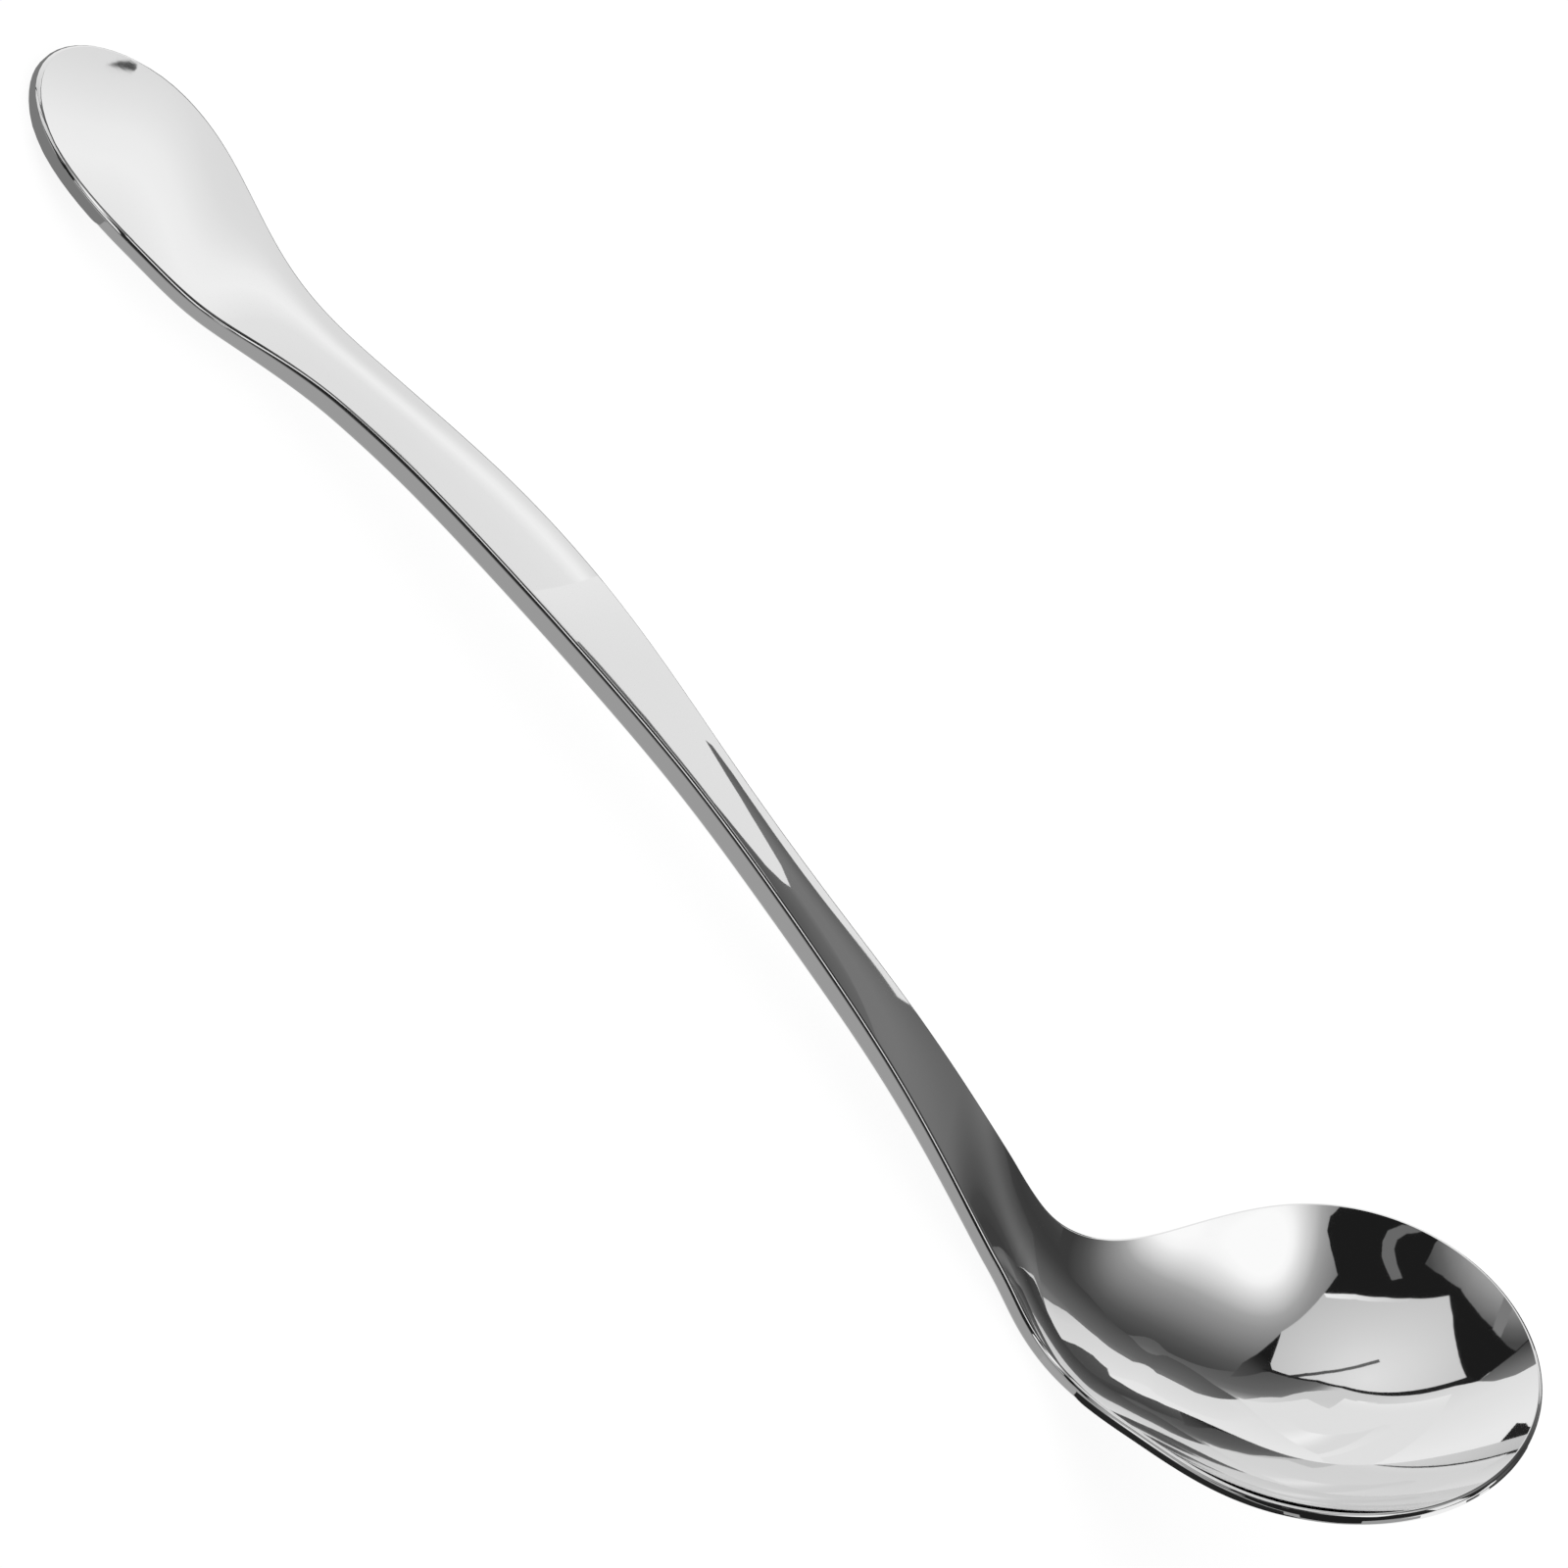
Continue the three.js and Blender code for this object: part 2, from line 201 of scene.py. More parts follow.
class Strip:
    """The spoon as one flat strip: its places, thickness, hollow and crown, and the press that bends it.

    A place on the strip is its distance along from the bowl's widest point, its distance across and its
    height.
    """

    SPINE_STEP = 0.02 * MM
    SPINE_FROM = -40 * MM
    SPINE_TO = 220 * MM

    def __init__(self, blank, bends):
        self.blank = blank
        self.bends = bends
        self.weld = blank.neck_length
        self.waist = self.weld + blank.waist_length
        self.swell = self.waist + blank.swell_length
        self.throat = self.swell + blank.throat_length
        self.paddle = self.throat + blank.flare_length
        self.spine_along = np.arange(self.SPINE_FROM, self.SPINE_TO, self.SPINE_STEP)
        self.spine_slope = self.slope(self.spine_along)
        middles = (self.spine_slope[1:] + self.spine_slope[:-1]) / 2.0
        run = np.concatenate([[0.0], np.cumsum(np.cos(middles) * self.SPINE_STEP)])
        rise = np.concatenate([[0.0], np.cumsum(np.sin(middles) * self.SPINE_STEP)])
        self.spine_run = run - np.interp(0.0, self.spine_along, run)
        self.spine_rise = rise - np.interp(0.0, self.spine_along, rise)

    def slope(self, along):
        """Slope of the bent strip, level at the bowl's widest point."""
        b = self.bends
        return (
            b.rim_bow_angle / 2.0
            - b.rim_bow_angle * eased(along, -b.rim_bow_length / 2.0, b.rim_bow_length)
            + b.neck_angle * eased(along, self.weld - b.neck_lead - b.neck_length, b.neck_length)
            - b.shoulder_angle * eased(along, self.weld + b.shoulder_lead, b.shoulder_length)
            - b.arch_angle * eased(along, self.waist + b.arch_lead, b.arch_length)
            + b.sweep_angle * eased(along, self.throat + b.sweep_lead, b.sweep_length)
            - b.drop_angle * eased(along, self.paddle - b.drop_lead, b.drop_length)
        )

    def thickness(self, along):
        """Thickness of the strip at its edge."""
        b = self.blank
        at_waist = eased(along, self.weld, self.waist - self.weld)
        at_paddle = eased(along, self.throat, self.paddle - self.throat)
        return (
            b.rim_thickness
            + (b.neck_thickness - b.rim_thickness) * eased(along, 0.0, self.weld)
            + (b.shank_thickness - b.neck_thickness) * at_waist
            + (b.paddle_thickness - b.shank_thickness) * at_paddle
        )

    def hollow(self, along):
        """Depth of the bowl's hollow along its middle."""
        b = self.blank
        front = np.minimum(along, 0.0) / (b.bowl_front - b.edge_round)
        rear = np.clip(along / (self.weld - b.hollow_run_out), 0.0, 1.0)
        front_depth = 1.0 - front * front
        rear_depth = (1.0 + np.cos(math.pi * rear)) / 2.0
        return b.bowl_depth * np.where(along < 0.0, front_depth, rear_depth)

    def dish(self, along):
        """Depth of the neck's shallow dish along its middle."""
        b = self.blank
        start = self.weld - b.dish_lead
        rising = eased(along, start, b.dish_rise)
        falling = eased(along, start + b.dish_rise, b.dish_fade)
        return b.neck_dish * (rising - falling)

    def crown(self, along):
        """Rise of the handle's top face along its middle. The paddle is flat."""
        rising = eased(along, self.weld, self.waist - self.weld)
        falling = eased(along, self.throat, self.paddle - self.throat)
        return self.blank.crown_height * (rising - falling)

    def bowl_outline(self):
        """Half outline of the bowl from the weld to the tip, as places along and across."""
        b = self.blank
        lost = (b.bowl_width - b.neck_width) / b.bowl_width
        carry_on = b.bowl_front * math.sqrt(2.0 / 3.0 * lost)
        arrive = b.taper_arrive * self.weld
        taper = level_curve(0.0, b.bowl_width, self.weld, b.neck_width, carry_on, arrive)
        return np.vstack([taper[::-1], quarter_round(0.0, -b.bowl_front, b.bowl_width)])

    def handle_outline(self):
        """Half outline of the handle from the weld to its end, as places along and across."""
        b = self.blank
        curves = (
            (self.weld, b.neck_width, self.waist, b.waist_width, b.waist_leave, b.waist_arrive),
            (self.waist, b.waist_width, self.swell, b.swell_width, b.swell_ease, b.swell_ease),
            (self.swell, b.swell_width, self.throat, b.throat_width, b.throat_ease, b.throat_ease),
            (self.throat, b.throat_width, self.paddle, b.paddle_width, b.flare_leave, b.flare_arrive),
        )
        runs = []
        for start, start_width, end, end_width, leave, arrive in curves:
            length = end - start
            runs.append(level_curve(start, start_width, end, end_width, leave * length, arrive * length))
        runs.append(quarter_round(self.paddle, b.end_length, b.paddle_width))
        return np.vstack(runs)

    def press(self, along, across, height):
        """Carries places on the strip to where the press puts them."""
        angle = np.interp(along, self.spine_along, self.spine_slope)
        x = np.sin(angle) * height - np.interp(along, self.spine_along, self.spine_run)
        z = np.cos(angle) * height + np.interp(along, self.spine_along, self.spine_rise)
        lie = self.bends.lie_angle
        place = self.bends.lie_place
        return np.stack(
            [
                x * math.cos(lie) + z * math.sin(lie) + place[0],
                across + place[1],
                z * math.cos(lie) - x * math.sin(lie) + place[2],
            ],
            axis=1,
        )


CURVE_POINTS = 400
NO_LENGTH = 1e-12
NO_WIDTH = 1e-6


def unit_rows(rows):
    """Rows of directions at length one."""
    return rows / np.maximum(np.linalg.norm(rows, axis=1), NO_LENGTH)[:, None]


def level_curve(start, start_width, end, end_width, leave, arrive):
    """Points of a half outline between two places, level at both ends."""
    t = np.linspace(0.0, 1.0, CURVE_POINTS)[:, None]
    a = np.array([start, start_width / 2.0])
    b = np.array([start + leave, start_width / 2.0])
    c = np.array([end - arrive, end_width / 2.0])
    d = np.array([end, end_width / 2.0])
    return (1 - t) ** 3 * a + 3 * (1 - t) ** 2 * t * b + 3 * (1 - t) * t**2 * c + t**3 * d


def quarter_round(start, reach, width):
    """Points of a quarter ellipse from the widest point to the end."""
    turn = np.linspace(0.0, math.pi / 2.0, CURVE_POINTS)
    return np.stack([start + reach * np.sin(turn), width / 2.0 * np.cos(turn)], axis=1)


class Blank:
    """One flat blank: the grid that fills an outline, and the pressed surface over it."""

    def __init__(self, strip, outline, round_start, rows, rings, margin):
        self.strip = strip
        self.outline = outline
        self.round_start = round_start
        self.reach = outline[-1, 0] - round_start
        self.half = float(outline[np.argmin(np.abs(outline[:, 0] - round_start)), 1])
        self.rows = rows
        self.rings = rings
        self.margin = margin
        self.sorted_outline = outline[outline[:, 0].argsort()]
        tangent = unit_rows(np.gradient(outline, axis=0))
        self.outward = np.stack([tangent[:, 1], -tangent[:, 0]], axis=1)
        self.outward[self.outward[:, 1] < 0.0] *= -1.0
        self.outward[-1] = (math.copysign(1.0, self.reach), 0.0)
        edge_round = strip.blank.edge_round
        inset = outline - self.outward * edge_round
        inset = inset[inset[:, 1] >= 0.0]
        inset = np.vstack([inset, [outline[-1, 0] - math.copysign(edge_round, self.reach), 0.0]])
        self.face = inset[inset[:, 0].argsort()]

    def spread(self, steps):
        """Share of the half width at a number of steps from the middle, with one wide step at the edge."""
        inner = 1.0 - self.margin / self.half
        return np.where(steps < self.rings, steps / (self.rings - 1.0) * inner, 1.0)

    def straight_rows(self, row, step):
        """Places of the grid points in the straight rows."""
        start = self.outline[0, 0]
        along = start + (self.round_start - start) * row / self.rows
        half = np.interp(along, self.sorted_outline[:, 0], self.sorted_outline[:, 1])
        steps = np.abs(step)
        across = np.where(steps < self.rings, (half - self.margin) * steps / (self.rings - 1.0), half)
        return along, np.sign(step) * across

    def round_rings(self, row, step):
        """Places of the grid points in the round end, on rings one inside the other."""
        s = (row - self.rows) / self.rings
        t = step / self.rings
        ring = np.maximum(s, np.abs(t))
        ahead = s >= np.abs(t)
        safe_s = np.where(s > 0.0, s, 1.0)
        safe_t = np.where(np.abs(t) > 0.0, np.abs(t), 1.0)
        angle = np.where(
            ahead,
            math.pi / 4.0 * t / safe_s,
            np.sign(t) * (math.pi / 2.0 - math.pi / 4.0 * s / safe_t),
        )
        out = self.spread(np.round(ring * self.rings))
        return self.round_start + self.reach * out * np.cos(angle), self.half * out * np.sin(angle)

    def places(self, row, step):
        """Places along and across of grid points by their row and their step from the middle."""
        straight = self.straight_rows(row, step)
        rounded = self.round_rings(np.maximum(row, self.rows), step)
        return [np.where(row <= self.rows, s, r) for s, r in zip(straight, rounded)]

    def nearest_outward(self, along, across):
        """Outward direction of the outline nearest to each place."""
        side = np.where(across < 0.0, -1.0, 1.0)
        result = np.empty((len(along), 2))
        for i, (x, y) in enumerate(zip(along, np.abs(across))):
            gap = (self.outline[:, 0] - x) ** 2 + (self.outline[:, 1] - y) ** 2
            result[i] = self.outward[np.argmin(gap)]
        result[:, 1] *= side
        return result


# Share of the neck's dish that shows as a bulge on the underside.
DISH_PRESS_OUT = 0.2


class BowlBlank(Blank):
    """The bowl's blank, with its hollow."""

    def __init__(self, strip, mesh):
        outline = strip.bowl_outline()
        rows, rings = mesh.bowl_rows, mesh.bowl_rings
        super().__init__(strip, outline, 0.0, rows, rings, mesh.edge_margin)
        self.thickness = strip.blank.rim_thickness

    def rises(self, along):
        """Heights that the press gives the top face and the underside along the middle."""
        b = self.strip.blank
        hollow = self.strip.hollow(along)
        dish = self.strip.dish(along)
        deepening = 1.0 + (b.floor_thickness - b.rim_thickness) / b.bowl_depth
        return -hollow - dish, -hollow * deepening - dish * DISH_PRESS_OUT


class HandleBlank(Blank):
    """The handle's blank, with its crown."""

    def __init__(self, strip, mesh):
        outline = strip.handle_outline()
        rows, rings = mesh.handle_rows, mesh.handle_rings
        super().__init__(strip, outline, strip.paddle, rows, rings, mesh.edge_margin)
        self.thickness = strip.blank.shank_thickness

    def rises(self, along):
        """Heights that the press gives the top face and the underside along the middle."""
        dish = self.strip.dish(along)
        return self.strip.crown(along) - dish, -dish * DISH_PRESS_OUT


TOP, UNDERSIDE, EDGE = range(3)


def press_places(blank, along, across, height, kind):
    """Carries places of a flat blank to the pressed spoon. Kind says which surface a place belongs to."""
    top, under = blank.rises(along)
    face = np.interp(along, blank.face[:, 0], blank.face[:, 1])
    part = across / np.maximum(face, NO_WIDTH)
    rise = np.where(kind == TOP, top, under) * (1.0 - part * part)
    rise = np.where(kind == EDGE, 0.0, rise)
    lower = height < -blank.thickness / 2.0
    shift = np.where(lower, blank.thickness - blank.strip.thickness(along), 0.0)
    return blank.strip.press(along, across, height + shift + rise)


def flat_normals(blank, along, across, height, kind):
    """Outward directions on the flat blank: its two faces, its sides and the rounds between them."""
    radius = blank.strip.blank.edge_round
    above = np.clip(1.0 + height / radius, 0.0, 1.0)
    below = np.clip(1.0 - (height + blank.thickness) / radius, 0.0, 1.0)
    up = np.where(kind == TOP, 1.0, np.where(kind == UNDERSIDE, -1.0, above - below))
    flat = np.sqrt(np.maximum(0.0, 1.0 - up * up))
    normals = np.zeros((len(along), 3))
    normals[:, 2] = up
    edge = kind == EDGE
    outward = blank.nearest_outward(along[edge], across[edge])
    normals[edge, 0] = outward[:, 0] * flat[edge]
    normals[edge, 1] = outward[:, 1] * flat[edge]
    return normals


NORMAL_STEP = 0.002 * MM


def pressed_normals(blank, along, across, height, kind):
    """Outward directions on the pressed spoon, carried over from the flat blank."""
    flat = flat_normals(blank, along, across, height, kind)
    columns = []
    for d_along, d_across, d_height in np.eye(3) * NORMAL_STEP:
        ahead = press_places(blank, along + d_along, across + d_across, height + d_height, kind)
        behind = press_places(blank, along - d_along, across - d_across, height - d_height, kind)
        columns.append((ahead - behind) / (2.0 * NORMAL_STEP))
    carried = (
        np.cross(columns[1], columns[2]) * flat[:, 0:1]
        + np.cross(columns[2], columns[0]) * flat[:, 1:2]
        + np.cross(columns[0], columns[1]) * flat[:, 2:3]
    )
    # The strip runs towards -X, so the carried directions come out turned round.
    return unit_rows(-carried)


ROUND_PROFILE = 0.5
SHARP_ANGLE = math.pi / 4.0


def flat_blank(name, blank, round_steps):
    """Models the flat blank: a grid in the outline's shape, given its thickness and rounded edges."""
    bpy.ops.object.select_all(action="DESELECT")
    rows = blank.rows + blank.rings
    columns = 2 * blank.rings
    bpy.ops.mesh.primitive_grid_add(x_subdivisions=rows, y_subdivisions=columns, size=2.0)
    piece = bpy.context.active_object
    piece.name = name
    piece.data.name = name
    grid = np.empty(len(piece.data.vertices) * 3)
    piece.data.vertices.foreach_get("co", grid)
    grid = grid.reshape(-1, 3)
    row = np.round((grid[:, 0] + 1.0) / 2.0 * rows)
    step = np.round(grid[:, 1] * blank.rings)
    along, across = blank.places(row, step)
    flat = np.stack([-along, across, np.zeros_like(along)], axis=1)
    piece.data.vertices.foreach_set("co", flat.ravel())

    bpy.ops.object.mode_set(mode="EDIT")
    bpy.ops.mesh.select_mode(type="EDGE")
    bpy.ops.mesh.select_all(action="SELECT")
    bpy.ops.mesh.extrude_region_move(TRANSFORM_OT_translate={"value": (0.0, 0.0, -blank.thickness)})
    bpy.ops.mesh.select_all(action="SELECT")
    bpy.ops.mesh.normals_make_consistent(inside=False)
    select_rounded_edges(piece, blank)
    bpy.ops.mesh.bevel(
        offset=blank.strip.blank.edge_round,
        offset_type="OFFSET",
        segments=round_steps,
        profile=ROUND_PROFILE,
        affect="EDGES",
        clamp_overlap=False,
    )
    bpy.ops.object.mode_set(mode="OBJECT")
    return piece


def select_rounded_edges(piece, blank):
    """Selects the edges of the blank's two faces, without those at the weld."""
    bpy.ops.mesh.select_all(action="DESELECT")
    cage = bmesh.from_edit_mesh(piece.data)
    weld = -blank.outline[0, 0]
    for edge in cage.edges:
        at_weld = all(abs(v.co.x - weld) < NORMAL_STEP for v in edge.verts)
        level = abs(edge.verts[0].co.z - edge.verts[1].co.z) < NORMAL_STEP
        edge.select = level and not at_weld and edge.calc_face_angle(0.0) > SHARP_ANGLE
    bmesh.update_edit_mesh(piece.data)


def press(piece, blank):
    """Presses a flat blank into the spoon's shape and gives every face corner its exact normal."""
    mesh = piece.data
    flat = np.empty(len(mesh.vertices) * 3)
    mesh.vertices.foreach_get("co", flat)
    flat = flat.reshape(-1, 3)
    along, across, height = -flat[:, 0], flat[:, 1], flat[:, 2]
    kind = np.full(len(flat), EDGE)
    kind[height > -NORMAL_STEP] = TOP
    kind[height < NORMAL_STEP - blank.thickness] = UNDERSIDE
    pressed = press_places(blank, along, across, height, kind)
    mesh.vertices.foreach_set("co", pressed.ravel())
    mesh.update()

    corner_vertex = np.empty(len(mesh.loops), np.int32)
    mesh.loops.foreach_get("vertex_index", corner_vertex)
    corner_kind = np.empty(len(mesh.loops), np.int32)
    at_weld = np.zeros(len(mesh.loops), bool)
    weld = blank.outline[0, 0]
    for polygon in mesh.polygons:
        corners = slice(polygon.loop_start, polygon.loop_start + polygon.loop_total)
        kinds = kind[corner_vertex[corners]]
        corner_kind[corners] = kinds[0] if np.all(kinds == kinds[0]) else EDGE
        at_weld[corners] = np.all(np.abs(along[corner_vertex[corners]] - weld) < NORMAL_STEP)
    v = corner_vertex
    normals = pressed_normals(blank, along[v], across[v], height[v], corner_kind)
    if np.any(at_weld):
        wall = [p.normal for p in mesh.polygons if at_weld[p.loop_start]]
        normals[at_weld] = sum(wall, Vector()).normalized()
    bpy.ops.object.shade_smooth()
    mesh.normals_split_custom_set([tuple(n) for n in normals])


HAZE_SCALE = 90.0
HAZE_TINT = 0.985
HAIRLINE_SCALE = (40.0, 2500.0, 2500.0)
HAIRLINE_DEPTH = 0.0002 * MM


def polish_marks(haze):
    """Node group of what polishing leaves: haze in tint and roughness, and hairlines along the spoon."""
    group = bpy.data.node_groups.new("polish_marks", "ShaderNodeTree")
    face = group.interface
    face.new_socket("Color", in_out="INPUT", socket_type="NodeSocketColor")
    face.new_socket("Roughness", in_out="INPUT", socket_type="NodeSocketFloat")
    face.new_socket("Color", in_out="OUTPUT", socket_type="NodeSocketColor")
    face.new_socket("Roughness", in_out="OUTPUT", socket_type="NodeSocketFloat")
    face.new_socket("Height", in_out="OUTPUT", socket_type="NodeSocketFloat")
    nodes = group.nodes
    links = group.links
    inlet = nodes.new("NodeGroupInput")
    outlet = nodes.new("NodeGroupOutput")
    place = nodes.new("ShaderNodeTexCoord")
    clouds = nodes.new("ShaderNodeTexNoise")
    clouds.inputs["Scale"].default_value = HAZE_SCALE
    links.new(place.outputs["Object"], clouds.inputs["Vector"])
    tint = nodes.new("ShaderNodeMapRange")
    tint.inputs["To Min"].default_value = HAZE_TINT
    links.new(clouds.outputs[0], tint.inputs["Value"])
    shaded = nodes.new("ShaderNodeVectorMath")
    shaded.operation = "SCALE"
    links.new(inlet.outputs["Color"], shaded.inputs[0])
    links.new(tint.outputs[0], shaded.inputs["Scale"])
    links.new(shaded.outputs[0], outlet.inputs["Color"])
    spread = nodes.new("ShaderNodeMapRange")
    spread.inputs["To Min"].default_value = 1.0 - haze
    spread.inputs["To Max"].default_value = 1.0 + haze
    links.new(clouds.outputs[0], spread.inputs["Value"])
    varied = nodes.new("ShaderNodeMath")
    varied.operation = "MULTIPLY"
    links.new(inlet.outputs["Roughness"], varied.inputs[0])
    links.new(spread.outputs[0], varied.inputs[1])
    links.new(varied.outputs[0], outlet.inputs["Roughness"])
    drawn = nodes.new("ShaderNodeMapping")
    drawn.inputs["Scale"].default_value = HAIRLINE_SCALE
    links.new(place.outputs["Object"], drawn.inputs["Vector"])
    hairs = nodes.new("ShaderNodeTexNoise")
    hairs.inputs["Scale"].default_value = 1.0
    links.new(drawn.outputs[0], hairs.inputs["Vector"])
    links.new(hairs.outputs[0], outlet.inputs["Height"])
    return group


def polished_steel(finish):
    """Mirror-polished stainless steel."""
    material = bpy.data.materials.get("polished_steel_finish")
    if material:
        return material
    material = bpy.data.materials.new("polished_steel_finish")
    material.use_nodes = True
    nodes = material.node_tree.nodes
    links = material.node_tree.links
    shader = nodes["Principled BSDF"]
    shader.inputs["Metallic"].default_value = 1.0
    marks = nodes.new("ShaderNodeGroup")
    marks.node_tree = polish_marks(finish.haze)
    marks.inputs["Color"].default_value = (*finish.steel, 1.0)
    marks.inputs["Roughness"].default_value = finish.roughness
    bump = nodes.new("ShaderNodeBump")
    bump.inputs["Distance"].default_value = HAIRLINE_DEPTH
    links.new(marks.outputs["Color"], shader.inputs["Base Color"])
    links.new(marks.outputs["Roughness"], shader.inputs["Roughness"])
    links.new(marks.outputs["Height"], bump.inputs["Height"])
    links.new(bump.outputs[0], shader.inputs["Normal"])
    return material


def press_piece(scene, blank_kind, name, node):
    """Makes one piece of the spoon, from its flat blank to its finish."""
    strip = Strip(scene.spoon_blank, scene.spoon_bends)
    blank = blank_kind(strip, scene.spoon_mesh)
    piece = flat_blank(name, blank, scene.spoon_mesh.round_steps)
    press(piece, blank)
    finish_piece(piece, node, scene.spoon_finish)


def finish_piece(piece, node, finish):
    """Gives a pressed piece its finish and puts it in the place of its solid."""
    piece.data.materials.clear()
    piece.data.materials.append(polished_steel(finish))
    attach(piece, BODY)
    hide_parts(node)


class SPOON_OT_bowl(bpy.types.Operator):
    """Press the bowl with its neck"""

    bl_idname = "spoon.bowl"
    bl_label = "Press Bowl"
    bl_options = {"REGISTER", "UNDO"}

    def execute(self, context):
        press_piece(context.scene, BowlBlank, "pressed_bowl", "bowl")
        return {"FINISHED"}


class SPOON_OT_handle(bpy.types.Operator):
    """Press the handle with its paddle"""

    bl_idname = "spoon.handle"
    bl_label = "Press Handle"
    bl_options = {"REGISTER", "UNDO"}

    def execute(self, context):
        press_piece(context.scene, HandleBlank, "pressed_handle", "handle")
        return {"FINISHED"}


class SPOON_OT_stage(bpy.types.Operator):
    """Set up the floor, the light and the camera"""

    bl_idname = "spoon.stage"
    bl_label = "Set Stage"
    bl_options = {"REGISTER", "UNDO"}

    def execute(self, context):
        scene = context.scene
        scene.view_settings.view_transform = "Standard"
        stage = scene.spoon_stage
        add_camera(scene, stage)
        add_world(scene)
        add_floor(stage)
        add_far_cards()
        add_handle_screens()
        add_near_cards()
        return {"FINISHED"}


SENSOR_WIDTH = 36.0
CLIP_START = 0.01
WHITE = (1.0, 1.0, 1.0, 1.0)
FLOOR_WHITE = (0.9, 0.9, 0.9, 1.0)
FLOOR_GLOW = 1.05


def add_camera(scene, stage):
    """Adds the camera on its line of sight, turned about it by the picture's roll."""
    bpy.ops.object.camera_add()
    camera = bpy.context.active_object
    camera.name = "camera"
    camera.data.lens = stage.lens
    camera.data.sensor_width = SENSOR_WIDTH
    camera.data.clip_start = CLIP_START
    level = math.cos(stage.elevation)
    back = Vector(
        (math.sin(stage.azimuth) * level, -math.cos(stage.azimuth) * level, math.sin(stage.elevation))
    )
    flat_right = Vector((math.cos(stage.azimuth), math.sin(stage.azimuth), 0.0))
    turned = Matrix.Rotation(stage.roll, 3, back) @ flat_right
    up = back.cross(turned)
    camera.matrix_world = Matrix(
        (
            (turned.x, up.x, back.x, stage.aim[0] + back.x * stage.distance),
            (turned.y, up.y, back.y, stage.aim[1] + back.y * stage.distance),
            (turned.z, up.z, back.z, stage.aim[2] + back.z * stage.distance),
            (0.0, 0.0, 0.0, 1.0),
        )
    )
    scene.camera = camera


def add_world(scene):
    """A plain white room."""
    world = bpy.data.worlds.new("white_room")
    scene.world = world
    world.use_nodes = True
    background = world.node_tree.nodes["Background"]
    background.inputs["Color"].default_value = WHITE
    background.inputs["Strength"].default_value = 1.0


def add_floor(stage):
    """A pale floor under the spoon, which keeps its soft shadow."""
    bpy.ops.object.select_all(action="DESELECT")
    bpy.ops.mesh.primitive_plane_add(size=stage.floor_size)
    floor = bpy.context.active_object
    floor.name = "floor"
    material = bpy.data.materials.new("white_floor")
    material.use_nodes = True
    nodes = material.node_tree.nodes
    links = material.node_tree.links
    nodes.remove(nodes["Principled BSDF"])
    matte = nodes.new("ShaderNodeBsdfDiffuse")
    matte.inputs["Color"].default_value = FLOOR_WHITE
    glow = nodes.new("ShaderNodeEmission")
    glow.inputs["Strength"].default_value = FLOOR_GLOW
    path = nodes.new("ShaderNodeLightPath")
    weight = nodes.new("ShaderNodeMath")
    weight.operation = "MULTIPLY"
    weight.inputs[1].default_value = 1.0 - stage.shadow_strength
    blend = nodes.new("ShaderNodeMixShader")
    links.new(path.outputs["Is Camera Ray"], weight.inputs[0])
    links.new(weight.outputs[0], blend.inputs[0])
    links.new(matte.outputs[0], blend.inputs[1])
    links.new(glow.outputs[0], blend.inputs[2])
    links.new(blend.outputs[0], nodes["Material Output"].inputs["Surface"])
    floor.data.materials.append(material)
    floor.visible_glossy = False


BOWL_MIDDLE = np.array([75.0, 0.0, 18.0]) * MM


class View:
    """A part of the studio seen from the spoon, as degrees right and up from one direction."""

    def __init__(self, azimuth, elevation):
        a, e = math.radians(azimuth), math.radians(elevation)
        self.ahead = np.array([math.cos(a) * math.cos(e), math.sin(a) * math.cos(e), math.sin(e)])
        self.side = np.array([-math.sin(a), math.cos(a), 0.0])
        self.rise = np.cross(self.ahead, self.side)

    def place(self, degrees_across_up, distance):
        """Point at a distance from the bowl's middle."""
        flat = np.radians(np.asarray(degrees_across_up, float))
        reach = np.linalg.norm(flat, axis=1)
        scale = np.sinc(reach / math.pi)[:, None]
        aim = np.cos(reach)[:, None] * self.ahead
        aim = aim + scale * (flat[:, 0:1] * self.side + flat[:, 1:2] * self.rise)
        return BOWL_MIDDLE + aim * distance


FAR_SIDE = View(150.0, 40.0)
NEAR_SIDE = View(-60.0, 0.0)
CARD_REACH = 2.0
LAYER_STEP = 0.03
CARD_CUTS = 6
CARD_PLACE = "card_place"


